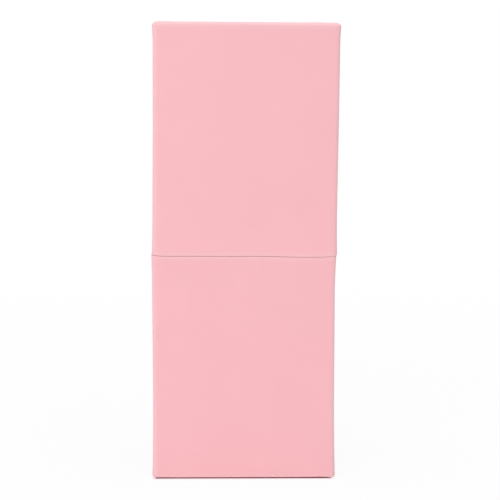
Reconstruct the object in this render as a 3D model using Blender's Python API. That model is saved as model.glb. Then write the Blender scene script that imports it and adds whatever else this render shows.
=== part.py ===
"""A tall makeup brush case: two equal leather covered cups that meet at a parting line halfway up.

The lower cup is the base. Its neck, a covered sleeve of thin board, stands inside it and rises
above its rim. The upper cup is the lid: it slides down over the neck until its rim meets the
base's rim, and block magnets let into the two rims hold it shut.

Each cup is five boards glued edge to edge. One strip of leather is wrapped round its walls,
turned in over the rim and turned under at the closed end, and meets itself at a butt seam down
the middle of the back. A thin leather panel hides the edges that are turned under.

Units are metres, +Z is up and the front faces -Y. The origin is at the middle of the underside.
"""

import math
from collections import namedtuple

import bmesh
import bpy

MM = 0.001

# Outside of the closed case
CASE_WIDTH = 84.4 * MM
CASE_DEPTH = 68.0 * MM
BASE_HEIGHT = 105.0 * MM  # from the underside to the middle of the parting line
LID_HEIGHT = 105.0 * MM  # from the middle of the parting line to the top
PARTING_GAP = 0.3 * MM
CORNER_RADIUS = 2.2 * MM  # upright corners, seen from above
EDGE_RADIUS = 2.0 * MM  # round the closed end of each cup
RIM_RADIUS = 0.8 * MM  # both edges of the leather on each rim

# Layers of a cup's wall
SKIN = 1.0 * MM  # leather
SWELL = 0.4 * MM  # how far the leather stands proud at both ends of a cup
SWELL_AT_END = 8.0 * MM  # length over which that fades away from the closed end
SWELL_AT_RIM = 20.0 * MM  # and away from the rim
GLUE_LINE = 0.3 * MM
BOARD = 2.0 * MM
TURN_IN = 15.0 * MM  # leather turned in over the rim
TURN_UNDER = 10.0 * MM  # how far in from the side the leather reaches under the closed end
SEAM_GAP = 0.3 * MM  # between the butted edges down the back
LINING = 0.8 * MM  # cloth on the lid's walls

# Closed end of a cup
END_PANEL = 0.5 * MM
END_PANEL_INSET = 2.6 * MM
END_PANEL_CORNER = 1.6 * MM
PAD = 1.6 * MM
PAD_CROWN = 0.4 * MM
PAD_SHOULDER = 5.0 * MM  # width of the slope up to the pad's crown
PAD_CLEARANCE = 0.3 * MM

# Neck
NECK_RISE = 22.0 * MM  # above the base's rim
NECK_CLEARANCE = 0.4 * MM  # to the faces that it slides past
NECK_CORNER_RADIUS = 2.0 * MM
NECK_EDGE_RADIUS = 0.9 * MM
NECK_COVER = 0.6 * MM
NECK_BOARD = 1.5 * MM

# Block magnets as thick as the board, two in the front wall and two in the back wall of each cup
MAGNET_WIDTH = 10.0 * MM
MAGNET_HEIGHT = 3.0 * MM
MAGNET_BEVEL = 0.2 * MM
MAGNET_CLEARANCE = 0.3 * MM
MAGNET_FROM_SIDE = 18.0 * MM  # from the side of the case to the middle of the magnet

# Fineness of the facets
TIGHTEST_FOLD = 0.4 * MM  # smallest radius at an upright corner
CORNER_STEPS = 6
FILLET_STEPS = 6
WALL_STEPS = 5
CROWN_STEPS = 3
SMOOTH_BELOW = math.radians(35)

# Insets of the layers of a wall from the outside of the case
SKIN_IN = SWELL + SKIN
BOARD_OUT = SKIN_IN + GLUE_LINE
BOARD_IN = BOARD_OUT + BOARD
TURN_OUT = BOARD_IN + GLUE_LINE
TURN_FACE = TURN_OUT + SKIN
LINING_FACE = TURN_OUT + LINING
NECK_OUT = max(TURN_FACE, LINING_FACE) + NECK_CLEARANCE
NECK_BOARD_OUT = NECK_OUT + NECK_COVER + GLUE_LINE
NECK_BOARD_IN = NECK_BOARD_OUT + NECK_BOARD
NECK_FACE = NECK_BOARD_IN + GLUE_LINE + NECK_COVER

# Heights of the layers of a closed end above its outermost face
SKIN_LOW = END_PANEL + GLUE_LINE
BOARD_LOW = SKIN_LOW + SKIN + GLUE_LINE
END_BOARD_TOP = BOARD_LOW + BOARD
INSIDE = END_BOARD_TOP + GLUE_LINE

MAGNET_OFFSET = CASE_WIDTH / 2 - MAGNET_FROM_SIDE

# Four upright boards: the inset of their outer faces, and the radius of the two corners that the
# front and back boards carry
Box = namedtuple("Box", "inset thickness low high corner")

Finishes = namedtuple("Finishes", "leather board cloth nickel")


def clear_scene():
    for obj in list(bpy.data.objects):
        bpy.data.objects.remove(obj)


def material(name, colour, roughness, metallic=0.0):
    made = bpy.data.materials.new(name)
    made.use_nodes = True
    shader = made.node_tree.nodes["Principled BSDF"]
    shader.inputs["Base Color"].default_value = (*colour, 1.0)
    shader.inputs["Roughness"].default_value = roughness
    shader.inputs["Metallic"].default_value = metallic
    return made


def carrier(name, height, upside_down=False):
    """An empty that carries one cup, at its closed end."""
    empty = bpy.data.objects.new(name, None)
    empty.location.z = height
    empty.rotation_mode = "QUATERNION"
    if upside_down:
        empty.rotation_quaternion = (0, 0, 1, 0)
    bpy.context.collection.objects.link(empty)
    return empty


def add_object(name, bm, finish, parent, location=(0, 0, 0), turn=0.0):
    """Links a finished bmesh as an object, shaded smooth apart from its sharp edges."""
    bmesh.ops.recalc_face_normals(bm, faces=bm.faces)
    mesh = bpy.data.meshes.new(name)
    bm.to_mesh(mesh)
    bm.free()
    mesh.shade_smooth()
    mesh.set_sharp_from_angle(angle=SMOOTH_BELOW)
    mesh.materials.append(finish)
    obj = bpy.data.objects.new(name, mesh)
    bpy.context.collection.objects.link(obj)
    obj.location = location
    obj.rotation_euler.z = turn
    obj.parent = parent


def outline(inset, radius, gap=0.0):
    """Points of a rounded rectangle seen from above, this far in from the outside of the case.

    It runs clockwise from the middle of the back, and is open there when it has a gap.
    """
    half_width = CASE_WIDTH / 2 - inset
    half_depth = CASE_DEPTH / 2 - inset
    radius = max(radius, TIGHTEST_FOLD)
    points = []
    for side, end, start in ((1, 1, 90), (1, -1, 0), (-1, -1, -90), (-1, 1, -180)):
        for step in range(CORNER_STEPS + 1):
            angle = math.radians(start - 90 * step / CORNER_STEPS)
            x = side * (half_width - radius) + radius * math.cos(angle)
            y = end * (half_depth - radius) + radius * math.sin(angle)
            points.append((x, y))
    if gap:
        points = [(gap / 2, half_depth), *points, (-gap / 2, half_depth)]
    return points


def arc(inset, height, radius, start, end):
    """Points of a fillet in a profile: 180 degrees is towards the outside and 90 degrees is up."""
    angles = [math.radians(start + (end - start) * k / FILLET_STEPS) for k in range(FILLET_STEPS + 1)]
    return [(inset + radius * math.cos(a), height + radius * math.sin(a)) for a in angles]


def add_ring(bm, inset, height, radius, gap=0.0):
    return [bm.verts.new((x, y, height)) for x, y in outline(inset, radius, gap)]


def wrapped(profile, corner):
    """Carries a closed profile of (inset, height) points round the case, open at the back seam.

    corner(inset) is the radius of the upright corners at that inset.
    """
    bm = bmesh.new()
    rings = [add_ring(bm, inset, height, corner(inset), SEAM_GAP) for inset, height in profile]
    for ring, following in zip(rings, rings[1:] + rings[:1]):
        for k in range(len(ring) - 1):
            bm.faces.new((ring[k], ring[k + 1], following[k + 1], following[k]))
    bm.faces.new([ring[0] for ring in rings])
    bm.faces.new([ring[-1] for ring in rings])
    return bm


def plate(layers):
    """A solid plate from rings of (inset, height, corner radius), closed at both ends."""
    bm = bmesh.new()
    rings = [add_ring(bm, *layer) for layer in layers]
    for ring, following in zip(rings, rings[1:]):
        for k in range(len(ring)):
            after = (k + 1) % len(ring)
            bm.faces.new((ring[k], ring[after], following[after], following[k]))
    bm.faces.new(rings[0])
    bm.faces.new(rings[-1])
    return bm


def fade(distance, length):
    """0 at no distance, rising smoothly to 1 over this length."""
    share = min(max(distance / length, 0.0), 1.0)
    return share * share * (3 - 2 * share)


def cup_corner(inset):
    """The layers of a cup's corner share one centre, up to the inner face of its boards."""
    return min(CORNER_RADIUS, BOARD_IN - TIGHTEST_FOLD) - inset


def neck_corner(inset):
    return min(NECK_CORNER_RADIUS, NECK_BOARD_IN - NECK_OUT - TIGHTEST_FOLD) - (inset - NECK_OUT)


def wall_face(rim):
    """Outer face of the leather between its fillets: proud near both ends and slim between."""
    low = SKIN_LOW + EDGE_RADIUS
    high = rim - RIM_RADIUS
    heights = [low + SWELL_AT_END * k / WALL_STEPS for k in range(1, WALL_STEPS + 1)]
    heights += [high - SWELL_AT_RIM * k / WALL_STEPS for k in range(WALL_STEPS, 0, -1)]
    return [(SWELL * fade(z - low, SWELL_AT_END) * fade(high - z, SWELL_AT_RIM), z) for z in heights]


def leather_wrap(prefix, rim, finish, parent):
    """The strip of leather: under the closed end, up the wall, over the rim and down inside."""
    profile = [
        (TURN_UNDER, SKIN_LOW),
        *arc(EDGE_RADIUS, SKIN_LOW + EDGE_RADIUS, EDGE_RADIUS, 270, 180),
        *wall_face(rim),
        *arc(RIM_RADIUS, rim - RIM_RADIUS, RIM_RADIUS, 180, 90),
        *arc(TURN_FACE - RIM_RADIUS, rim - RIM_RADIUS, RIM_RADIUS, 90, 0),
        (TURN_FACE, rim - TURN_IN),
        (TURN_OUT, rim - TURN_IN),
        (TURN_OUT, rim - SKIN),
        (SKIN_IN, rim - SKIN),
        (SKIN_IN, SKIN_LOW + SKIN),
        (TURN_UNDER, SKIN_LOW + SKIN),
    ]
    add_object(f"{prefix}_leather_wrap", wrapped(profile, cup_corner), finish, parent)


def board_face(half_length, box, notches):
    """Face of an upright board, with a notch in its upper edge round each magnet."""
    half_notch = MAGNET_WIDTH / 2 + MAGNET_CLEARANCE
    notch_floor = box.high - MAGNET_HEIGHT - MAGNET_CLEARANCE
    points = [(-half_length, box.low), (half_length, box.low), (half_length, box.high)]
    for middle in notches:
        points += [(middle + half_notch, box.high), (middle + half_notch, notch_floor)]
        points += [(middle - half_notch, notch_floor), (middle - half_notch, box.high)]
    return points + [(-half_length, box.high)]


def upright_board(half_length, box, notches=(), radius=0.0):
    """One board with its outer face on y = 0 and its thickness towards +Y."""
    bm = bmesh.new()
    face = bm.faces.new([bm.verts.new((x, 0, z)) for x, z in board_face(half_length, box, notches)])
    made = bmesh.ops.extrude_face_region(bm, geom=[face])["geom"]
    inner = [item for item in made if isinstance(item, bmesh.types.BMVert)]
    bmesh.ops.translate(bm, verts=inner, vec=(0, box.thickness, 0))
    if radius:
        corners = [edge for edge in bm.edges if at_outer_corner(edge, half_length)]
        bmesh.ops.bevel(
            bm, geom=corners, offset=radius, segments=CORNER_STEPS, profile=0.5, affect="EDGES"
        )
    return bm


def at_outer_corner(edge, half_length):
    """Whether an edge of a board is one of the two upright ones that show outside."""
    first, second = (vert.co for vert in edge.verts)
    upright = first.x == second.x and first.y == second.y == 0
    return upright and abs(abs(first.x) - half_length) < TIGHTEST_FOLD / 2


def four_boards(prefix, box, notches, hands, finish, parent):
    """Front and back boards over the full width, and side boards glued between them."""
    half_width = CASE_WIDTH / 2 - box.inset
    half_depth = CASE_DEPTH / 2 - box.inset
    between = half_depth - box.thickness - GLUE_LINE
    for side, turn in (("front", 0.0), ("back", math.pi)):
        bm = upright_board(half_width, box, notches, max(box.corner, TIGHTEST_FOLD))
        place = (0, -half_depth * math.cos(turn), 0)
        add_object(f"{prefix}_{side}_board", bm, finish, parent, place, turn)
    for side, sign in zip(hands, (-1, 1)):
        place = (sign * half_width, 0, 0)
        bm = upright_board(between, box)
        add_object(f"{prefix}_{side}_board", bm, finish, parent, place, sign * math.pi / 2)


def rim_magnets(prefix, board_top, hands, finish, parent):
    """Block magnets in the notches, flush with the boards' faces and upper edges."""
    middle = CASE_DEPTH / 2 - BOARD_OUT - BOARD / 2
    for side, facing in (("front", -1), ("back", 1)):
        for hand, sign in zip(hands, (-1, 1)):
            bm = bmesh.new()
            bmesh.ops.create_cube(bm, size=1)
            bmesh.ops.scale(bm, verts=bm.verts, vec=(MAGNET_WIDTH, BOARD, MAGNET_HEIGHT))
            bmesh.ops.bevel(bm, geom=bm.edges[:], offset=MAGNET_BEVEL, segments=1, affect="EDGES")
            place = (sign * MAGNET_OFFSET, facing * middle, board_top - MAGNET_HEIGHT / 2)
            add_object(f"{prefix}_magnet_{side}_{hand}", bm, finish, parent, place)


def end_board(prefix, finish, parent):
    inset = BOARD_IN + GLUE_LINE
    layers = [(inset, BOARD_LOW, TIGHTEST_FOLD), (inset, END_BOARD_TOP, TIGHTEST_FOLD)]
    add_object(f"{prefix}_end_board", plate(layers), finish, parent)


def end_panel(name, finish, parent):
    """The thin leather panel over the closed end, with a rounded edge."""
    half = END_PANEL / 2
    edge = arc(END_PANEL_INSET + half, half, half, 270, 90)
    layers = [(inset, height, END_PANEL_CORNER - (inset - END_PANEL_INSET)) for inset, height in edge]
    add_object(name, plate(layers), finish, parent)


def pad(name, around, finish, parent):
    """A thin covered pad on the end board, with rounded sides and a slight crown."""
    half = PAD / 2
    edge = around + PAD_CLEARANCE + half
    side = arc(edge, INSIDE + half, half, 270, 90)
    shares = [(k + 1) / CROWN_STEPS for k in range(CROWN_STEPS)]
    top = [(edge + PAD_SHOULDER * share, INSIDE + PAD + PAD_CROWN * fade(share, 1)) for share in shares]
    layers = [(inset, height, TIGHTEST_FOLD) for inset, height in side + top]
    add_object(name, plate(layers), finish, parent)


def lid_lining(rim, finish, parent):
    """Cloth on the lid's walls, from its end board to the edge of the leather that is turned in."""
    high = rim - TURN_IN - GLUE_LINE
    profile = [(TURN_OUT, INSIDE), (TURN_OUT, high), (LINING_FACE, high), (LINING_FACE, INSIDE)]
    add_object("lid_wall_lining", wrapped(profile, cup_corner), finish, parent)


def neck(rim, finishes, parent):
    """The sleeve: four thin boards, and the cloth over both their sides and their upper edges."""
    top = rim + NECK_RISE
    under = top - NECK_COVER
    radius = NECK_EDGE_RADIUS
    profile = [
        (NECK_OUT, INSIDE),
        *arc(NECK_OUT + radius, top - radius, radius, 180, 90),
        *arc(NECK_FACE - radius, top - radius, radius, 90, 0),
        (NECK_FACE, INSIDE),
        (NECK_FACE - NECK_COVER, INSIDE),
        (NECK_FACE - NECK_COVER, under),
        (NECK_OUT + NECK_COVER, under),
        (NECK_OUT + NECK_COVER, INSIDE),
    ]
    add_object("neck_cover", wrapped(profile, neck_corner), finishes.cloth, parent)
    corner = neck_corner(NECK_BOARD_OUT)
    box = Box(NECK_BOARD_OUT, NECK_BOARD, INSIDE, under - GLUE_LINE, corner)
    four_boards("neck", box, (), ("left", "right"), finishes.board, parent)


def cup(prefix, height, panel_name, hands, finishes, parent):
    """What both cups share, built with the closed end down. Returns the height of the rim.

    hands names the sides that lie at -X and +X while the cup stands that way.
    """
    rim = height - PARTING_GAP / 2
    board_top = rim - SKIN - GLUE_LINE
    box = Box(BOARD_OUT, BOARD, BOARD_LOW, board_top, cup_corner(BOARD_OUT))
    four_boards(prefix, box, (MAGNET_OFFSET, -MAGNET_OFFSET), hands, finishes.board, parent)
    end_board(prefix, finishes.board, parent)
    rim_magnets(prefix, board_top, hands, finishes.nickel, parent)
    leather_wrap(prefix, rim, finishes.leather, parent)
    end_panel(panel_name, finishes.leather, parent)
    return rim


def build():
    clear_scene()
    finishes = Finishes(
        leather=material("pink_leather", (0.939, 0.503, 0.539), 0.5),
        board=material("grey_board", (0.36, 0.33, 0.29), 0.9),
        cloth=material("lining_cloth", (0.80, 0.40, 0.43), 0.95),
        nickel=material("nickel", (0.72, 0.70, 0.66), 0.3, metallic=1.0),
    )

    base = carrier("base_carrier", 0)
    rim = cup("base", BASE_HEIGHT, "base_foot_panel", ("left", "right"), finishes, base)
    neck(rim, finishes, base)
    pad("base_floor_pad", NECK_FACE, finishes.cloth, base)

    lid = carrier("lid_carrier", BASE_HEIGHT + LID_HEIGHT, upside_down=True)
    rim = cup("lid", LID_HEIGHT, "lid_top_panel", ("right", "left"), finishes, lid)
    lid_lining(rim, finishes.cloth, lid)
    pad("lid_ceiling_pad", LINING_FACE, finishes.cloth, lid)


build()
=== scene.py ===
"""The looks of a tall pink makeup brush case, dressed over its packed construction.

Two leather covered cups meet at a parting line halfway up. The lower cup is the base, and a cloth
covered neck stands inside it. The upper cup is the lid, which slides down over the neck.

Units are metres, +Z is up and the front faces -Y. A cup is described the same way whichever way up
it stands: its closed end is at height 0, its rim is at the top, and an inset is measured from the
outside of the case. The lid is turned over when its points are placed.
"""

import math
from collections import namedtuple

import bmesh
import bpy
from mathutils import Matrix, Vector, noise

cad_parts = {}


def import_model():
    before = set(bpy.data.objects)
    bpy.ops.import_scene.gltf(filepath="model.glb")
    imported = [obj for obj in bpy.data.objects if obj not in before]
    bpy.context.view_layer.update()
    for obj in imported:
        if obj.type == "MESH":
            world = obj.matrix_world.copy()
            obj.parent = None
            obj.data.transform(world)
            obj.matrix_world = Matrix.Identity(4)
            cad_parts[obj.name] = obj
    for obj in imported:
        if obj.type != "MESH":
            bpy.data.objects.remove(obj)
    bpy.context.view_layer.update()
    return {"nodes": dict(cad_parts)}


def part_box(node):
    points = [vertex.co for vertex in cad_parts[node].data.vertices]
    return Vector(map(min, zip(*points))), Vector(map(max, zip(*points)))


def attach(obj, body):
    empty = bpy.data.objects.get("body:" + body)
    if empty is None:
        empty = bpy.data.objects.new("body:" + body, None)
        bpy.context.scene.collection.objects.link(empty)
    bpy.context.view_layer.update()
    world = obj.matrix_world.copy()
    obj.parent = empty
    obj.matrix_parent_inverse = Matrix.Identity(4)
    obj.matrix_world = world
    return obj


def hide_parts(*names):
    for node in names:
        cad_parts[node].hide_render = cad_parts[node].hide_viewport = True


MM = 0.001

# Camera, fitted to the outline of the case in the photograph
CAMERA_PLACE = Vector((-24.0, -734.0, 212.5)) * MM
CAMERA_YAW = math.radians(2.15)  # to the right
CAMERA_PITCH = math.radians(8.51)  # down
CAMERA_ROLL = math.radians(0.48)
FOCAL_PIXELS = 1559.3
IMAGE_PIXELS = 500
SENSOR_WIDTH = 36.0  # in millimetres, as a camera's lens is

# Layers that the frame's boxes don't give
GLUE_LINE = 0.3 * MM
NECK_CLEARANCE = 0.4 * MM
PAD_CLEARANCE = 0.3 * MM

# Leather
SKIN = 1.0 * MM  # thickness
CORNER_RADIUS = 2.2 * MM
LIP_RISE = 0.1 * MM  # how far the outer lip closes the parting line beyond the flat of the rim
INNER_LIP_RADIUS = 0.8 * MM
INNER_LIP_STRETCH_AND_SHEEN = 0.8  # how much the leather is stretched there, and how strong its painted sheen is, against the outer lip
TURN_IN = 15.0 * MM
TURN_UNDER = 10.0 * MM
SKIVE = 1.5 * MM  # length over which a turned edge thins out
SKIVED_EDGE = SKIN / 3  # thickness left at that edge
TIGHTEST_FOLD = 0.4 * MM  # smallest radius round a corner

# Four places across the flat of the rim, from the outer lip's round to the inner one's
RIM_START = (0.4 * MM, 0.9 * MM)  # the first two, inward of where the outer round ends
RIM_FALL = LIP_RISE / 4  # from the outer lip's crest down to the first
RIM_FINISH = 0.5 * MM  # the last, outward of where the inner round starts
RIM_GIVES = (0.85, 0.6, 0.3, 0.05)  # how much of the leather's unevenness each follows
RIM_STRETCH_AND_SHEEN = (0.7, 0.3)  # how much the leather is stretched, and how strong its painted sheen is, at the first two

# Leather panels over the closed ends
PANEL_CORNER = 1.6 * MM
PANEL_EDGE = 0.35 * MM  # radius
# How much the panel's rounded edge is stretched, and how strong its painted sheen is
PANEL_EDGE_STRETCH_AND_SHEEN = 0.8
PANEL_GROOVE = 0.12 * MM  # between a panel and the leather round it
PANEL_GLUE = 0.05 * MM  # between a panel and the leather turned under
PANEL_RINGS = (1.0 * MM, 2.5 * MM, 6.0 * MM, 12.0 * MM, 20.0 * MM)  # on its face, in from its side

# Two places beside that groove: how far outward, and how far above the low side of the edge
GROOVE_LIP = ((0.1 * MM, 0.03 * MM), (0.3 * MM, 0.0))

# Butt seam down the back
SEAM_HALF_GAP = 0.05 * MM
SEAM_LIP = 0.7 * MM  # how far from the seam the leather starts to round in
SEAM_DIP = 0.3 * MM  # and how far it rounds in
SEAM_PLACES = (0.0, 0.12 * MM, 0.3 * MM, 0.5 * MM, SEAM_LIP, 1.2 * MM)

# Small folds where the leather is gathered at a corner
FOLDS = (0.2, 0.5, 0.8)  # places along the corner, from one side to the other
FOLD_WIDTH = 0.07
FOLD_DEPTH = 0.16 * MM
CORNER_REACH = 8.0 * MM  # how far along the sides the leather is folded more softly

# Unevenness of hand made leather work
RIPPLE = 0.05 * MM
RIPPLE_LENGTH = 26.0 * MM
RIM_REACH = 9.0 * MM  # how far from a rim its waviness is felt
FRONT_REACH = 25.0 * MM  # and how far back along the sides

# Cloth
NECK_CORNER = 2.0 * MM
NECK_EDGE_RADIUS = 1.2 * MM
NECK_GIVE = 0.5  # how much of the cloth's unevenness shows on the neck
COVER = 0.6 * MM  # thickness on the neck
LINING = 0.8 * MM  # thickness in the lid
LINING_EDGE = 0.3 * MM
CLOTH_RIPPLE = 0.07 * MM
CLOTH_RIPPLE_LENGTH = 14.0 * MM

# Pads
PAD_CORNER = 1.2 * MM
PAD_EDGE = 0.8 * MM
PAD_UNDER = 5.0 * MM  # the ring on its underside, in from its side
PAD_CROWN = 0.4 * MM
PAD_MIDDLE = 4.0 * MM  # from the crown's last ring to the middle, with the edge's radius added
CROWN_STEEPNESS = 1.4  # the crown is full at 1 / 1.4 of the way to its last ring
PAD_WAIST = 0.25 * MM  # how far its sides pull in between its corners

# Fineness of the meshes
FLAT_STEP = 2.0 * MM
CORNER_STEPS = 16
ARC_STEPS = 8
TURN_IN_STEPS = 4
CROWN_STEPS = 8
FLOOR_STEPS = 4
SHARP_ABOVE = math.radians(50)

# Directions in a profile, in degrees
INWARD = 0
TO_RIM = 90
OUTWARD = 180
TO_END = 270

# Directions seen from above, in degrees, clockwise from the back
BACK = 90
RIGHT = 0
FRONT = -90
LEFT = -180
QUARTER_TURN = 90

# Natural unevenness of a material: the size of its largest features, and how much finer detail
# lies in them
Pattern = namedtuple("Pattern", "size detail")

# Relief of a material: how strongly it shows, and its depth where its height is 1
Relief = namedtuple("Relief", "strength depth")

# Finish of the leather
GRAIN_SIZE = 0.55 * MM
GRAIN_CREASE = (0.0, 0.18)  # distance from a crease, in cells, over which the grain rises
PORES = Pattern(0.15 * MM, 2.0)
SWELL = Pattern(3.0 * MM, 4.0)
MOTTLE = Pattern(22.0 * MM, 3.0)
GRAIN_HEIGHT = 0.5  # against the height of the swell
PORE_HEIGHT = 0.3
LEATHER_RELIEF = Relief(0.4, 0.02 * MM)
LEATHER_TONES = ((0.910, 0.474, 0.511), (0.920, 0.482, 0.519))
# A paler colour where the leather is stretched, which also stands in for a painted sheen on its
# rounded lips, edges and corners
STRETCHED_AND_SHEEN_COLOUR = (0.9, 0.62, 0.65, 1.0)
STRETCHED_AND_SHEEN_SHARE = 0.3  # how much of it shows where the leather is stretched most and its painted sheen is strongest
LEATHER_ROUGHNESS = (0.46, 0.56)

# Finish of the cloth
PILE = Pattern(0.18 * MM, 3.0)
STROKES = Pattern(6.0 * MM, 4.0)
PILE_HEIGHT = 0.7
STROKE_HEIGHT = 0.6
PILE_TONE = 0.5  # how much of the change of tone comes from the pile
STROKE_TONE = 0.5  # and how much from the strokes
CLOTH_RELIEF = Relief(0.6, 0.08 * MM)
CLOTH_TONES = ((0.72, 0.34, 0.37), (0.84, 0.44, 0.47))
CLOTH_ROUGHNESS = 0.95
CLOTH_SHEEN = 0.35
CLOTH_SHEEN_ROUGHNESS = 0.4

# Finish of the board and of the magnets
FIBRE = Pattern(0.4 * MM, 6.0)
BOARD_RELIEF = Relief(0.5, 0.05 * MM)
BOARD_TONES = ((0.27, 0.25, 0.22), (0.45, 0.41, 0.36))
BOARD_ROUGHNESS = 0.92
CLOUD = Pattern(1.2 * MM, 4.0)
NICKEL_TONES = ((0.66, 0.64, 0.60), (0.76, 0.74, 0.70))
NICKEL_ROUGHNESS = (0.2, 0.4)

TONE_CHANGE = (0.35, 0.65)  # a material's first tone below, its second above, and blended between
WHITE = (1.0, 1.0, 1.0, 1.0)

# Lamps: each is a square area that faces the middle of the case
Lamp = namedtuple("Lamp", "name place size power")
LAMPS_AIM = Vector((0.0, 0.0, 0.1))
LAMPS = (
    Lamp("key", Vector((-0.5, -1.2, 0.15)), 0.7, 5.1),
    Lamp("left fill", Vector((-1.4, -0.4, 0.15)), 0.7, 1.6),
    Lamp("top", Vector((0.0, -0.3, 2.0)), 1.2, 15.0),
)

# Floor and world
WORLD_LIGHT = 0.6
FLOOR_SIZE = 8.0
FLOOR_COLOUR = (0.9, 0.9, 0.9, 1.0)
PAINTED_CONTACT_SHADOW_COLOUR = (0.40, 0.13, 0.17, 1.0)  # painted contact shadow: the floor is coloured dark under the case's edge, so the gap there reads as one dark line
CONTACT_SHADOW = (-2.1 * MM, -1.6 * MM)  # over which the painted contact shadow fades, from under the case's edge to where the floor is pale
LEFT_SHADOW = 0.5 * MM  # how much further the painted shadow reaches at the left
PAINTED_BOUNCE_COLOUR = (1.0, 0.72, 0.77, 1.0)  # painted pink bounce light: the pale floor seen beside the case is tinted as if the pink leather shone on it
PAINTED_BOUNCE_REACH = (-1.6 * MM, 0.3 * MM)  # from there to where the painted bounce light fades to white
NEAR_SHADOW = 0.08  # how much of the floor's own shading is seen round the case
FAR_SHADOW = (0.1, 0.6)  # over this distance from the case it fades to the white of the backdrop

# Outer face of the leather: inset between the flares, how much and how far each end flares out
Shape = namedtuple("Shape", "waist end_flare end_reach rim_flare rim_reach")

# Sideways lean of a cup: its shift at the closed end and at the rim, and between which heights
Lean = namedtuple("Lean", "at_end at_rim start finish")

# A smooth rise of an edge, by its place across the front
Rise = namedtuple("Rise", "middle width height")

# How sharply the leather is folded: the radius round the closed end, its larger radius near the
# corners, the height of that edge above the panel's face, and the radius of the lip at the rim
Folded = namedtuple("Folded", "edge corner_edge edge_low lip")

# One cup: its name and body, the height of its closed end, 1 if it stands up or -1 if upside down,
# the heights of its rim and of the leather turned under, half its width and depth, and its traits,
# of which the last is the rises of the leather's edge at its closed end
Cup = namedtuple(
    "Cup", "name end up rim skin_low half_width half_depth folded shape lean end_rises"
)

# A shift in a profile, inward and towards the rim
NO_SHIFT = (0.0, 0.0)

# A point of a profile that is carried round a cup: how much of the cup's unevenness it follows, the
# way that a fold is sunk there, how much the leather is stretched and how strong its painted sheen
# is, its shift near the corners, how much it follows the rises of the closed end's edge, and how
# much it follows the cup's lean, which is as much as the unevenness where nothing is given
Spot = namedtuple(
    "Spot",
    "inset height give fold stretch soft edge lean",
    defaults=(0.0, NO_SHIFT, 0.0, NO_SHIFT, 0.0, None),
)

# A place on the way round a cup: across and along as shares of the rectangle of corner centres, the
# outward direction, and the share of the way round a corner, if it is in one
Station = namedtuple("Station", "across along out_x out_y turn")

BASE_FOLDED = Folded(0.4 * MM, 0.85 * MM, 0.99 * MM, 0.35 * MM)
LID_FOLDED = Folded(1.2 * MM, 1.4 * MM, 0.1 * MM, 0.2 * MM)
BASE_SHAPE = Shape(0.38 * MM, 0.65 * MM, 42 * MM, 0.38 * MM, 16 * MM)
LID_SHAPE = Shape(0.27 * MM, 0.36 * MM, 9 * MM, 0.34 * MM, 20 * MM)
BASE_LEAN = Lean(0.39 * MM, -0.37 * MM, 0.0, 88 * MM)
LID_LEAN = Lean(0.09 * MM, -0.07 * MM, 45 * MM, 85 * MM)
BASE_END_RISES = (
    Rise(-41 * MM, 3 * MM, -0.18 * MM),
    Rise(35 * MM, 5 * MM, 0.14 * MM),
    Rise(41 * MM, 3 * MM, -0.38 * MM),
)
LID_END_RISES = (
    Rise(-42 * MM, 2 * MM, -0.36 * MM),
    Rise(39 * MM, 3.5 * MM, 0.2 * MM),
    Rise(43 * MM, 1.8 * MM, -0.75 * MM),
)

# Both rims follow these at the front, so the parting line does too
PARTING_DROP = 0.28 * MM
PARTING_RISES = (
    Rise(-43 * MM, 3.4 * MM, 0.42 * MM),
    Rise(6 * MM, 6 * MM, 0.08 * MM),
    Rise(29 * MM, 12 * MM, -0.32 * MM),
    Rise(43 * MM, 4.5 * MM, 0.38 * MM),
)

# Face of the top panel
TOP_DROP = 0.14 * MM
TOP_RISES = (Rise(-37.5 * MM, 2.2 * MM, 0.16 * MM), Rise(36 * MM, 7 * MM, 0.15 * MM))


def fade(share):
    """0 at 0 or less, rising smoothly to 1 at 1 or more."""
    share = min(max(share, 0.0), 1.0)
    return share * share * (3 - 2 * share)


def bell(distance, width):
    """1 in the middle, falling smoothly to nearly 0 at twice the width."""
    return math.exp(-((distance / width) ** 2))


def spread(start, end, steps):
    """Evenly spaced values from start to end, without start."""
    return [start + (end - start) * k / steps for k in range(1, steps + 1)]


def angles(start, end):
    """Angles of a fillet in radians, from start to end in degrees."""
    return [math.radians(start + (end - start) * k / ARC_STEPS) for k in range(ARC_STEPS + 1)]


def fillet(inset, height, radius, turn, **traits):
    """Spots of a fillet round a middle, at the angles of its turn."""
    return [
        Spot(inset + radius * math.cos(a), height + radius * math.sin(a), **traits) for a in turn
    ]


def side_stations(start, end, length):
    """Stations along a flat side, between two corner centres."""
    out_x = (start[0] + end[0]) / 2
    out_y = (start[1] + end[1]) / 2
    steps = round(length / FLAT_STEP)
    stations = []
    for k in range(1, steps):
        across = start[0] + (end[0] - start[0]) * k / steps
        along = start[1] + (end[1] - start[1]) * k / steps
        stations.append(Station(across, along, out_x, out_y, None))
    return stations


def corner_stations(across, along, start):
    """Stations round a corner, a quarter turn clockwise from the side that it starts at."""
    stations = []
    for k in range(CORNER_STEPS + 1):
        angle = math.radians(start - QUARTER_TURN * k / CORNER_STEPS)
        out_x, out_y = math.cos(angle), math.sin(angle)
        stations.append(Station(across, along, out_x, out_y, k / CORNER_STEPS))
    return stations


def seam_stations(half_width):
    """Stations along the right half of the back, closer together near the seam."""
    far = spread(SEAM_PLACES[-1], half_width, round(half_width / FLAT_STEP))[:-1]
    return [Station(x / half_width, 1.0, 0.0, 1.0, None) for x in (*SEAM_PLACES, *far)]


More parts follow.
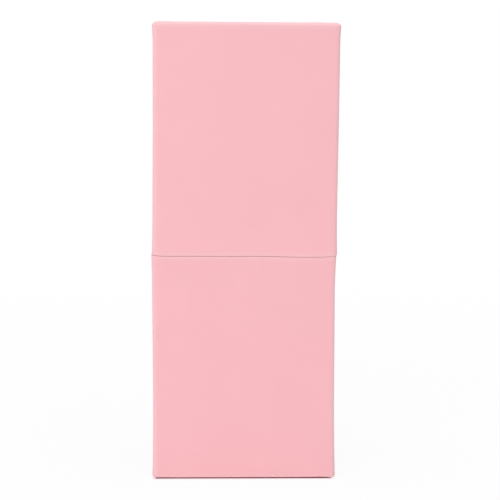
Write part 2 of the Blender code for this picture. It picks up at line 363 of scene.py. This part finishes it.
def way_round(cup):
    """Stations clockwise from the middle of the back, seen from above."""
    width = 2 * cup.half_width
    depth = 2 * cup.half_depth
    right_back = seam_stations(cup.half_width)
    left_back = [station._replace(across=-station.across) for station in reversed(right_back)]
    return [
        *right_back,
        *corner_stations(1, 1, BACK),
        *side_stations((1, 1), (1, -1), depth),
        *corner_stations(1, -1, RIGHT),
        *side_stations((1, -1), (-1, -1), width),
        *corner_stations(-1, -1, FRONT),
        *side_stations((-1, -1), (-1, 1), depth),
        *corner_stations(-1, 1, LEFT),
        *left_back,
    ]


def seen_from_above(cup, station, inset, corner):
    """Where a station lies on the rounded rectangle at this inset."""
    radius = max(corner - inset, TIGHTEST_FOLD)
    x = station.across * (cup.half_width - inset - radius) + station.out_x * radius
    y = station.along * (cup.half_depth - inset - radius) + station.out_y * radius
    return x, y


def lean_at(lean, height):
    """Sideways shift of a leaning cup at a height."""
    share = (height - lean.start) / (lean.finish - lean.start)
    return lean.at_end + (lean.at_rim - lean.at_end) * min(max(share, 0.0), 1.0)


def wall_inset(shape, height, low, high):
    """Inset of the leather's outer face between the fillets of a cup."""
    near_end = 1 - min((height - low) / shape.end_reach, 1.0)
    near_rim = 1 - min((high - height) / shape.rim_reach, 1.0)
    return shape.waist - shape.end_flare * near_end**2 - shape.rim_flare * near_rim**2


def rise_at(rises, x):
    """Height of an edge's rises at a place across the front."""
    return sum(rise.height * bell(x - rise.middle, rise.width) for rise in rises)


def ripple_at(x, y, z, size, length):
    """A smooth ripple of this size and length, at a point."""
    return size * noise.noise(Vector((x, y, z)) / length)


def nearness_to_front(cup, y):
    """1 at the front face, fading to 0 along the sides."""
    return fade(1 - (y + cup.half_depth) / FRONT_REACH)


def edge_rise(cup, x, y):
    """Upward shift of the leather's edge at the closed end."""
    return nearness_to_front(cup, y) * rise_at(cup.end_rises, x)


def leather_unevenness(cup, x, y, height):
    """Sideways, outward and upward shift of the leather's outer face."""
    outward = ripple_at(x, y, cup.end + cup.up * height, RIPPLE, RIPPLE_LENGTH)
    near_rim = fade(1 - (cup.rim - height) / RIM_REACH)
    upward = nearness_to_front(cup, y) * near_rim * (rise_at(PARTING_RISES, x) - PARTING_DROP)
    return lean_at(cup.lean, height), outward, upward


def top_unevenness(cup, x, y, height):
    """The same for the top panel, which follows the leather round it and rises near its ends."""
    upward = rise_at(TOP_RISES, x) - TOP_DROP + edge_rise(cup, x, y)
    return lean_at(cup.lean, 0.0), 0.0, upward


def foot_unevenness(cup, x, y, height):
    """The same for the foot panel, which shifts with its cup and is kept level by the floor."""
    return lean_at(cup.lean, 0.0), 0.0, 0.0


def wall_cloth_unevenness(cup, x, y, height):
    """The same for cloth on a wall, which ripples outward and inward."""
    return 0.0, ripple_at(x, y, height, CLOTH_RIPPLE, CLOTH_RIPPLE_LENGTH), 0.0


def pad_unevenness(cup, x, y, height):
    """The same for cloth on a pad, which ripples up and down."""
    return 0.0, 0.0, ripple_at(x, y, height, CLOTH_RIPPLE, CLOTH_RIPPLE_LENGTH)


def fold_at(turn):
    """Depth of the gathered folds, from 0 to 1, at a share of the way round a corner."""
    if turn is None:
        return 0.0
    return max(bell(turn - place, FOLD_WIDTH) for place in FOLDS)


def nearness_to_corner(cup, station):
    """1 in a corner, fading to 0 along the sides."""
    away = (1 - abs(station.across)) * cup.half_width + (1 - abs(station.along)) * cup.half_depth
    return fade(1 - away / CORNER_REACH)


def seam_dip(cup, station):
    """How far, from 0 to 1, the leather rounds down into the butt seam at a station."""
    if station.turn is not None or station.out_y < 1:
        return 0.0
    return 1 - fade(abs(station.across) * cup.half_width / SEAM_LIP)


def placed(cup, station, spot, corner, unevenness):
    """A profile's spot carried to a station."""
    fold = fold_at(station.turn)
    soft = nearness_to_corner(cup, station)
    dip = SEAM_DIP * spot.give * seam_dip(cup, station)
    inset = spot.inset + spot.fold[0] * fold + spot.soft[0] * soft + dip
    height = spot.height + spot.fold[1] * fold + spot.soft[1] * soft
    x, y = seen_from_above(cup, station, inset, corner)
    sideways, outward, upward = unevenness(cup, x, y, spot.height)
    rise = spot.give * upward + spot.edge * edge_rise(cup, x, y)
    lean = spot.give if spot.lean is None else spot.lean
    x += lean * sideways + spot.give * outward * station.out_x
    y += spot.give * outward * station.out_y
    return Vector((x, y, cup.end + cup.up * height + rise))


def add_ring(bm, cup, stations, spot, corner, unevenness):
    """One spot's points at all stations, with how much the leather is stretched at each, which also
    sets its painted sheen.
    """
    stretch = bm.verts.layers.float["stretch"]
    curved = corner - spot.inset > TIGHTEST_FOLD
    ring = []
    for station in stations:
        vert = bm.verts.new(placed(cup, station, spot, corner, unevenness))
        in_corner = curved and station.turn is not None
        round_corner = spot.give * math.sin(math.pi * station.turn) if in_corner else 0.0
        vert[stretch] = max(spot.stretch, round_corner)
        ring.append(vert)
    return ring


def swept(cup, spots, corner, unevenness):
    """A closed profile carried round a cup, open at the seam down the back."""
    stations = way_round(cup)
    bm = bmesh.new()
    bm.verts.layers.float.new("stretch")
    rings = [add_ring(bm, cup, stations, spot, corner, unevenness) for spot in spots]
    for ring in rings:
        ring[0].co.x += SEAM_HALF_GAP
        ring[-1].co.x -= SEAM_HALF_GAP
    for ring, following in zip(rings, rings[1:] + rings[:1]):
        for k in range(len(ring) - 1):
            bm.faces.new((ring[k], ring[k + 1], following[k + 1], following[k]))
    bm.faces.new([ring[0] for ring in rings])
    bm.faces.new([ring[-1] for ring in rings])
    return bm


def inward_pull(station):
    """1 in the middle of a side and 0 at the corners."""
    share = station.across if abs(station.out_y) > abs(station.out_x) else station.along
    return 1 - share * share


def plate(cup, spots, corner, unevenness, waist=0.0):
    """A closed plate of rings over both faces. Its sides pull in by the waist, between corners."""
    stations = way_round(cup)[:-1]
    bm = bmesh.new()
    bm.verts.layers.float.new("stretch")
    rings = [add_ring(bm, cup, stations, spot, corner, unevenness) for spot in spots]
    for ring in rings:
        for vert, station in zip(ring, stations):
            vert.co -= waist * inward_pull(station) * Vector((station.out_x, station.out_y, 0))
    for ring, following in zip(rings, rings[1:]):
        for k in range(len(ring)):
            after = (k + 1) % len(ring)
            bm.faces.new((ring[k], ring[after], following[after], following[k]))
    bm.faces.new(rings[0])
    bm.faces.new(rings[-1])
    return bm


def add_piece(name, bm, cup, finish, slot, *replaced):
    """Links a finished mesh as a piece that rides on the cup's body in place of CAD nodes."""
    bmesh.ops.recalc_face_normals(bm, faces=bm.faces)
    mesh = bpy.data.meshes.new(name)
    bm.to_mesh(mesh)
    bm.free()
    mesh.shade_smooth()
    mesh.set_sharp_from_angle(angle=SHARP_ABOVE)
    mesh.materials.append(finish)
    obj = bpy.data.objects.new(name, mesh)
    bpy.context.scene.collection.objects.link(obj)
    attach(obj, cup.name)
    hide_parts(*replaced)
    return obj


def span(cup, node):
    """Lowest and highest point of a node above the cup's closed end, and its side's inset."""
    low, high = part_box(node)
    heights = sorted(cup.up * (z - cup.end) for z in (low.z, high.z))
    return heights[0], heights[1], cup.half_width - high.x


def end_spots(cup, edge_inset, panel_inset):
    """Under the closed end and round its edge, up to the wall."""
    radius, edge_low = cup.folded.edge, cup.folded.edge_low
    softer = cup.folded.corner_edge - radius
    groove = panel_inset - PANEL_GROOVE
    sunk = (0.0, FOLD_DEPTH)
    spots = [
        Spot(TURN_UNDER, cup.skin_low, lean=1.0),
        Spot(groove + GLUE_LINE, cup.skin_low, lean=1.0),
        Spot(groove, cup.skin_low, lean=1.0),
        Spot(groove, (cup.skin_low + edge_low) / 2, fold=sunk, lean=1.0),
    ]
    for out, up in GROOVE_LIP:
        spots.append(Spot(groove - out, edge_low + up, fold=sunk, edge=1.0, lean=1.0))
    for angle in angles(TO_END, OUTWARD):
        inward, upward = 1 + math.cos(angle), 1 + math.sin(angle)
        under = fade(-math.sin(angle))
        spots.append(
            Spot(
                edge_inset + radius * inward,
                edge_low + radius * upward,
                give=1 - under,
                fold=(0.0, FOLD_DEPTH * under),
                stretch=1.0,
                soft=(softer * inward, softer * upward),
                edge=under,
                lean=1.0,
            )
        )
    return spots


def wall_spots(cup, low, high):
    """Up the wall's outer face, between the fillets."""
    heights = spread(low, high, round((high - low) / FLAT_STEP))[:-1]
    return [Spot(wall_inset(cup.shape, h, low, high), h, give=1.0) for h in heights]


def rim_spots(cup, lip_inset, turn_face):
    """Over the rim, from the outer lip to the inner one."""
    crest = cup.rim + LIP_RISE
    lip = cup.folded.lip
    lip_middle = lip_inset + lip
    inner_middle = turn_face - INNER_LIP_RADIUS
    inner_height = cup.rim - INNER_LIP_RADIUS
    sunk = (0.0, -FOLD_DEPTH)
    half_sunk = (0.0, -FOLD_DEPTH / 2)
    places = (
        (lip_middle + RIM_START[0], crest - RIM_FALL, NO_SHIFT, RIM_STRETCH_AND_SHEEN[0]),
        (lip_middle + RIM_START[1], cup.rim, half_sunk, RIM_STRETCH_AND_SHEEN[1]),
        (turn_face / 2, cup.rim, sunk, 0.0),
        (inner_middle - RIM_FINISH, cup.rim, sunk, 0.0),
    )
    spots = fillet(lip_middle, crest - lip, lip, angles(OUTWARD, TO_RIM), give=1.0, stretch=1.0)
    for give, (inset, height, fold, stretch) in zip(RIM_GIVES, places):
        spots.append(Spot(inset, height, give, fold, stretch))
    turn = angles(TO_RIM, INWARD)
    traits = {"fold": sunk, "stretch": INNER_LIP_STRETCH_AND_SHEEN}
    return spots + fillet(inner_middle, inner_height, INNER_LIP_RADIUS, turn, **traits)


def turned_in_spots(cup, turn_face, board_inset):
    """Down the inside of the wall to the skived edge, and the hidden faces back to the start."""
    turn_out = turn_face - SKIN
    low = cup.rim - TURN_IN
    heights = spread(cup.rim - 2 * SKIN, low + SKIVE, TURN_IN_STEPS)
    return [
        *[Spot(turn_face, h, fold=(-FOLD_DEPTH, 0.0)) for h in heights],
        Spot(turn_out + SKIVED_EDGE, low),
        Spot(turn_out, low),
        Spot(turn_out, cup.rim - SKIN),
        Spot(board_inset - GLUE_LINE, cup.rim - SKIN),
        Spot(board_inset - GLUE_LINE, cup.skin_low + SKIN),
        Spot(TURN_UNDER, cup.skin_low + SKIN),
    ]


def leather_wrap(cup, panel, turn_face, leather):
    """The strip of leather round a cup, turned in over its rim and under its closed end."""
    low = cup.folded.edge_low + cup.folded.edge
    high = cup.rim + LIP_RISE - cup.folded.lip
    board_inset = cup.half_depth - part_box(f"{cup.name}_back_board")[1].y
    spots = [
        *end_spots(cup, wall_inset(cup.shape, low, low, high), span(cup, panel)[2]),
        *wall_spots(cup, low, high),
        *rim_spots(cup, wall_inset(cup.shape, high, low, high), turn_face),
        *turned_in_spots(cup, turn_face, board_inset),
    ]
    bm = swept(cup, spots, CORNER_RADIUS, leather_unevenness)
    add_piece(f"{cup.name}_leather", bm, cup, leather, "pink_leather", f"{cup.name}_leather_wrap")


def end_panel(cup, node, leather, unevenness):
    """The thin panel over the closed end, pressed down onto the leather turned under."""
    inset = span(cup, node)[2]
    radius = PANEL_EDGE
    under = cup.skin_low - PANEL_GLUE
    turn = angles(OUTWARD, TO_END)
    traits = {"give": 1.0, "stretch": PANEL_EDGE_STRETCH_AND_SHEEN}
    spots = [
        *[Spot(further, under, lean=1.0) for further in (TURN_UNDER, inset + radius, inset)],
        *fillet(inset + radius, radius, radius, turn, **traits),
        *[Spot(inset + further, 0.0, give=1.0) for further in PANEL_RINGS],
    ]
    bm = plate(cup, spots, PANEL_CORNER + inset, unevenness)
    add_piece(f"{cup.name}_end_leather", bm, cup, leather, "pink_leather", node)


def pad(cup, node, cloth):
    """A thin pad with a crown, whose edge is one half round from its underside to its shoulder."""
    low, high, inset = span(cup, node)
    shoulder = high - PAD_CROWN
    edge_middle = inset + PAD_EDGE
    spots = [
        Spot(inset + PAD_UNDER, low),
        *fillet(edge_middle, low + PAD_EDGE, PAD_EDGE, angles(TO_END, OUTWARD)),
        *fillet(edge_middle, shoulder - PAD_EDGE, PAD_EDGE, angles(OUTWARD, TO_RIM)[1:]),
    ]
    for share in spread(0.0, 1.0, CROWN_STEPS):
        further = edge_middle + share * (cup.half_depth - inset - PAD_MIDDLE)
        crown = PAD_CROWN * fade(share * CROWN_STEEPNESS)
        spots.append(Spot(further, shoulder + crown, give=1.0))
    bm = plate(cup, spots, PAD_CORNER + inset, pad_unevenness, PAD_WAIST)
    made = add_piece(node.replace("_pad", "_cushion"), bm, cup, cloth, "lining_cloth", node)


def wall_lining(cup, node, cloth):
    """Cloth on the walls of the lid, between its top board and the leather that is turned in."""
    low, high, inset = span(cup, node)
    face = inset + LINING
    radius = LINING_EDGE
    heights = spread(high - radius, low, round((high - low) / FLAT_STEP))
    spots = [
        Spot(inset, low),
        Spot(inset, high),
        *fillet(face - radius, high - radius, radius, angles(TO_RIM, INWARD)),
        *[Spot(face, h, give=1.0) for h in heights],
    ]
    bm = swept(cup, spots, CORNER_RADIUS, wall_cloth_unevenness)
    add_piece(f"{cup.name}_cloth", bm, cup, cloth, "lining_cloth", node)


def neck_cover(cup, node, face, cloth):
    """The cloth over both sides of the neck and over its rounded upper edge."""
    low, high, inset = span(cup, node)
    radius = NECK_EDGE_RADIUS
    edge_height = high - radius
    heights = spread(low, edge_height, round((edge_height - low) / FLAT_STEP))[:-1]
    spots = [
        Spot(inset, low),
        *[Spot(inset, h, give=NECK_GIVE) for h in heights],
        *fillet(inset + radius, edge_height, radius, angles(OUTWARD, TO_RIM), give=NECK_GIVE),
        *fillet(face - radius, edge_height, radius, angles(TO_RIM, INWARD), give=NECK_GIVE),
        *[Spot(face, h, give=NECK_GIVE) for h in reversed(heights)],
        Spot(face, low),
        Spot(face - COVER, low),
        Spot(face - COVER, high - COVER),
        Spot(inset + COVER, high - COVER),
        Spot(inset + COVER, low),
    ]
    bm = swept(cup, spots, NECK_CORNER + inset, wall_cloth_unevenness)
    add_piece("neck_cloth", bm, cup, cloth, "lining_cloth", node)


def new_material(name):
    """A material, its node tree and its main shader."""
    made = bpy.data.materials.new(name)
    made.use_nodes = True
    return made, made.node_tree, made.node_tree.nodes["Principled BSDF"]


def set_inputs(tree, node, inputs):
    """Gives a node's inputs, by name or number, their values or links to other nodes' outputs."""
    for key, value in inputs.items():
        if isinstance(value, bpy.types.NodeSocket):
            tree.links.new(value, node.inputs[key])
        else:
            node.inputs[key].default_value = value


def add_node(tree, kind, inputs, **settings):
    """A node with its inputs and settings."""
    made = tree.nodes.new(kind)
    for name, value in settings.items():
        setattr(made, name, value)
    set_inputs(tree, made, inputs)
    return made


def computed(tree, operation, first, second):
    """The result of an operation on two numbers."""
    made = add_node(tree, "ShaderNodeMath", {0: first, 1: second}, operation=operation)
    return made.outputs[0]


def scaled(tree, value, factor):
    return computed(tree, "MULTIPLY", value, factor)


def summed(tree, first, second):
    return computed(tree, "ADD", first, second)


def vector_computed(tree, operation, *vectors):
    """The outputs of an operation on vectors."""
    inputs = dict(enumerate(vectors))
    return add_node(tree, "ShaderNodeVectorMath", inputs, operation=operation).outputs


def in_range(tree, value, low, high):
    """A value from 0 to 1, brought between low and high."""
    inputs = {"Value": value, "To Min": low, "To Max": high}
    return add_node(tree, "ShaderNodeMapRange", inputs).outputs["Result"]


def rising(tree, value, reach, low=0.0, high=1.0):
    """Rises smoothly from low to high while the value passes through its reach."""
    start, end = reach
    inputs = {"Value": value, "From Min": start, "From Max": end, "To Min": low, "To Max": high}
    made = add_node(tree, "ShaderNodeMapRange", inputs, interpolation_type="SMOOTHSTEP")
    return made.outputs["Result"]


def two_tones(tree, factor, tones):
    """The first tone where the factor is low, and the second where it is high."""
    ramp = add_node(tree, "ShaderNodeValToRGB", {"Fac": factor})
    for element, position, tone in zip(ramp.color_ramp.elements, TONE_CHANGE, tones):
        element.position = position
        element.color = (*tone, 1.0)
    return ramp.outputs["Color"]


def blended(tree, factor, first, second):
    """The first colour where the factor is 0, and the second where it is 1."""
    inputs = {"Factor": factor, "A": first, "B": second}
    return add_node(tree, "ShaderNodeMix", inputs, data_type="RGBA").outputs["Result"]


def either_shader(tree, share, first, second):
    """The first shader where the share is 0, and the second where it is 1."""
    return add_node(tree, "ShaderNodeMixShader", {0: share, 1: first, 2: second}).outputs[0]


def place_on_object(tree):
    """A point's place on its object's own axes."""
    return add_node(tree, "ShaderNodeTexCoord", {}).outputs["Object"]


def noise_of(tree, place, pattern):
    """Noise with a pattern's size and detail, from 0 to 1."""
    inputs = {"Vector": place, "Scale": 1 / pattern.size, "Detail": pattern.detail}
    return add_node(tree, "ShaderNodeTexNoise", inputs).outputs["Fac"]


def cells_of(tree, place, size):
    """Closed cells about this large: distance from the crease between them."""
    inputs = {"Vector": place, "Scale": 1 / size}
    made = add_node(tree, "ShaderNodeTexVoronoi", inputs, feature="DISTANCE_TO_EDGE")
    return made.outputs["Distance"]


def normal_of(tree, height, relief):
    """How a relief, given by its height, tilts the surface."""
    inputs = {"Height": height, "Strength": relief.strength, "Distance": relief.depth}
    return add_node(tree, "ShaderNodeBump", inputs).outputs["Normal"]


def leather_material():
    """Smooth coated leather: fine closed grain, faint mottling, paler where it is stretched and
    where a sheen is painted on its rounded lips, edges and corners.
    """
    made, tree, shader = new_material("pink_leather")
    place = place_on_object(tree)
    grain = rising(tree, cells_of(tree, place, GRAIN_SIZE), GRAIN_CREASE)
    pores = noise_of(tree, place, PORES)
    swell = noise_of(tree, place, SWELL)
    fine = summed(tree, scaled(tree, grain, GRAIN_HEIGHT), scaled(tree, pores, PORE_HEIGHT))
    tone = two_tones(tree, noise_of(tree, place, MOTTLE), LEATHER_TONES)
    stretch = add_node(tree, "ShaderNodeAttribute", {}, attribute_name="stretch").outputs["Fac"]
    # Paler where the leather is stretched, and a painted sheen on its rounded lips, edges and
    # corners
    paleness = scaled(tree, stretch, STRETCHED_AND_SHEEN_SHARE)
    finish = {
        "Base Color": blended(tree, paleness, tone, STRETCHED_AND_SHEEN_COLOUR),
        "Roughness": in_range(tree, pores, *LEATHER_ROUGHNESS),
        "Normal": normal_of(tree, summed(tree, fine, swell), LEATHER_RELIEF),
    }
    set_inputs(tree, shader, finish)
    return made


def cloth_material():
    """Brushed microfibre: short soft pile with a sheen, in a slightly deeper pink."""
    made, tree, shader = new_material("lining_cloth")
    place = place_on_object(tree)
    pile = noise_of(tree, place, PILE)
    strokes = noise_of(tree, place, STROKES)
    height = summed(tree, scaled(tree, pile, PILE_HEIGHT), scaled(tree, strokes, STROKE_HEIGHT))
    tone = summed(tree, scaled(tree, pile, PILE_TONE), scaled(tree, strokes, STROKE_TONE))
    finish = {
        "Base Color": two_tones(tree, tone, CLOTH_TONES),
        "Roughness": CLOTH_ROUGHNESS,
        "Sheen Weight": CLOTH_SHEEN,
        "Sheen Roughness": CLOTH_SHEEN_ROUGHNESS,
        "Normal": normal_of(tree, height, CLOTH_RELIEF),
    }
    set_inputs(tree, shader, finish)
    return made


def board_material():
    """Pressed grey board: pulp with darker and paler fibres."""
    made, tree, shader = new_material("grey_board")
    fibre = noise_of(tree, place_on_object(tree), FIBRE)
    finish = {
        "Base Color": two_tones(tree, fibre, BOARD_TONES),
        "Roughness": BOARD_ROUGHNESS,
        "Normal": normal_of(tree, fibre, BOARD_RELIEF),
    }
    set_inputs(tree, shader, finish)
    return made


def nickel_material():
    """Nickel plating over a pressed magnet: slightly uneven gloss."""
    made, tree, shader = new_material("nickel")
    cloud = noise_of(tree, place_on_object(tree), CLOUD)
    finish = {
        "Base Color": two_tones(tree, cloud, NICKEL_TONES),
        "Roughness": in_range(tree, cloud, *NICKEL_ROUGHNESS),
        "Metallic": 1.0,
    }
    set_inputs(tree, shader, finish)
    return made


def refinish_carried_nodes(nodes, board, nickel):
    """The construction that stays as it is gets its finished materials."""
    for name, obj in nodes.items():
        if name.endswith("_board"):
            obj.material_slots[0].material = board
        elif "_magnet_" in name:
            obj.material_slots[0].material = nickel


def seen_directly(tree):
    """1 for rays from the camera, a reflection or a refraction."""
    path = add_node(tree, "ShaderNodeLightPath", {}).outputs
    seen = computed(tree, "MAXIMUM", path["Is Camera Ray"], path["Is Glossy Ray"])
    return computed(tree, "MAXIMUM", seen, path["Is Transmission Ray"])


def add_world():
    """An even white light, which is full white where it is seen."""
    world = bpy.data.worlds.new("studio")
    world.use_nodes = True
    tree = world.node_tree
    light = tree.nodes["Background"]
    set_inputs(tree, light, {"Color": WHITE, "Strength": WORLD_LIGHT})
    backdrop = add_node(tree, "ShaderNodeBackground", {"Color": WHITE, "Strength": 1.0})
    surface = either_shader(tree, seen_directly(tree), light.outputs[0], backdrop.outputs[0])
    set_inputs(tree, tree.nodes["World Output"], {"Surface": surface})
    bpy.context.scene.world = world


def beyond_footprint(tree, cup):
    """Distance from the leather's lower outline, drawn out at the left, negative under the case."""
    middle = (lean_at(cup.lean, 0.0) - LEFT_SHADOW / 2, 0.0, 0.0)
    to_corner = CORNER_RADIUS + cup.shape.waist - cup.shape.end_flare
    half_width = cup.half_width + LEFT_SHADOW / 2
    corner_centre = (half_width - to_corner, cup.half_depth - to_corner, 0.0)
    from_middle = vector_computed(tree, "SUBTRACT", place_on_object(tree), middle)[0]
    in_one_quarter = vector_computed(tree, "ABSOLUTE", from_middle)[0]
    from_corner = vector_computed(tree, "SUBTRACT", in_one_quarter, corner_centre)[0]
    past_corner = vector_computed(tree, "MAXIMUM", from_corner, (0.0, 0.0, 0.0))[0]
    distance = vector_computed(tree, "LENGTH", past_corner)["Value"]
    return summed(tree, distance, -CORNER_RADIUS)


def floor_material(cup):
    """White paper that keeps the case's shadow, with a painted dark contact shadow under the case's
    edge and a painted pink bounce light beside it, and is otherwise as white as the backdrop.
    """
    made, tree, shader = new_material("white_floor")
    away = beyond_footprint(tree, cup)
    # Painted contact shadow: the floor's colour turns dark under the case's edge
    outside_painted_shadow = rising(tree, away, CONTACT_SHADOW)
    colour = blended(tree, outside_painted_shadow, PAINTED_CONTACT_SHADOW_COLOUR, FLOOR_COLOUR)
    set_inputs(tree, shader, {"Base Color": colour, "Roughness": 1.0, "Specular IOR Level": 0.0})
    # Painted pink bounce light on the floor seen beside the case
    painted_bounce_tint = blended(tree, rising(tree, away, PAINTED_BOUNCE_REACH), PAINTED_BOUNCE_COLOUR, WHITE)
    white = add_node(tree, "ShaderNodeEmission", {"Color": painted_bounce_tint, "Strength": 1.0})
    paleness = scaled(tree, outside_painted_shadow, rising(tree, away, FAR_SHADOW, low=1 - NEAR_SHADOW))
    share = scaled(tree, seen_directly(tree), paleness)
    surface = either_shader(tree, share, shader.outputs[0], white.outputs[0])
    set_inputs(tree, tree.nodes["Material Output"], {"Surface": surface})
    return made


def add_floor(cup):
    """A wide white floor round the case, and no part of it."""
    bm = bmesh.new()
    half = FLOOR_SIZE / 2
    bmesh.ops.create_grid(bm, x_segments=FLOOR_STEPS, y_segments=FLOOR_STEPS, size=half)
    mesh = bpy.data.meshes.new("floor")
    bm.to_mesh(mesh)
    bm.free()
    mesh.materials.append(floor_material(cup))
    floor = bpy.data.objects.new("floor", mesh)
    bpy.context.scene.collection.objects.link(floor)


def add_lamps():
    """Square lamps that face the middle of the case."""
    for lamp in LAMPS:
        light = bpy.data.lights.new(lamp.name, "AREA")
        light.size = lamp.size
        light.energy = lamp.power
        obj = bpy.data.objects.new(lamp.name, light)
        obj.location = lamp.place
        obj.rotation_euler = (LAMPS_AIM - lamp.place).to_track_quat("-Z", "Y").to_euler()
        bpy.context.scene.collection.objects.link(obj)


def add_camera():
    """The photograph's own viewpoint."""
    sin_yaw, cos_yaw = math.sin(CAMERA_YAW), math.cos(CAMERA_YAW)
    sin_pitch, cos_pitch = math.sin(CAMERA_PITCH), math.cos(CAMERA_PITCH)
    ahead = Vector((sin_yaw * cos_pitch, cos_yaw * cos_pitch, -sin_pitch))
    level_right = Vector((cos_yaw, -sin_yaw, 0.0))
    roll = Matrix.Rotation(-CAMERA_ROLL, 3, ahead)
    right = roll @ level_right
    up = right.cross(ahead)
    camera = bpy.data.cameras.new("camera")
    camera.sensor_width = SENSOR_WIDTH
    camera.lens = FOCAL_PIXELS * SENSOR_WIDTH / IMAGE_PIXELS
    obj = bpy.data.objects.new("camera", camera)
    axes = Matrix((right, up, -ahead)).transposed()
    obj.matrix_world = Matrix.Translation(CAMERA_PLACE) @ axes.to_4x4()
    bpy.context.scene.collection.objects.link(obj)
    bpy.context.scene.camera = obj


def describe_cup(name, panel, up, *traits):
    """A cup's own measures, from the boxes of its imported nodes."""
    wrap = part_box(f"{name}_leather_wrap")
    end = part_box(panel)[0 if up > 0 else 1].z
    skin_low, rim = sorted(up * (corner.z - end) for corner in wrap)
    return Cup(name, end, up, rim, skin_low, wrap[1].x, wrap[1].y, *traits)


def build():
    """Dresses the frame, and adds its floor, world, lamps and camera."""
    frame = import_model()
    leather = leather_material()
    cloth = cloth_material()
    refinish_carried_nodes(frame["nodes"], board_material(), nickel_material())

    base_traits = (BASE_FOLDED, BASE_SHAPE, BASE_LEAN, BASE_END_RISES)
    lid_traits = (LID_FOLDED, LID_SHAPE, LID_LEAN, LID_END_RISES)
    base = describe_cup("base", "base_foot_panel", 1, *base_traits)
    lid = describe_cup("lid", "lid_top_panel", -1, *lid_traits)
    turn_face = span(base, "neck_cover")[2] - NECK_CLEARANCE
    neck_face = span(base, "base_floor_pad")[2] - PAD_CLEARANCE

    leather_wrap(base, "base_foot_panel", turn_face, leather)
    leather_wrap(lid, "lid_top_panel", turn_face, leather)
    end_panel(base, "base_foot_panel", leather, foot_unevenness)
    end_panel(lid, "lid_top_panel", leather, top_unevenness)
    neck_cover(base, "neck_cover", neck_face, cloth)
    wall_lining(lid, "lid_wall_lining", cloth)
    pad(base, "base_floor_pad", cloth)
    pad(lid, "lid_ceiling_pad", cloth)

    add_floor(base)
    add_world()
    add_lamps()
    add_camera()
    bpy.context.scene.view_settings.view_transform = "Standard"


build()
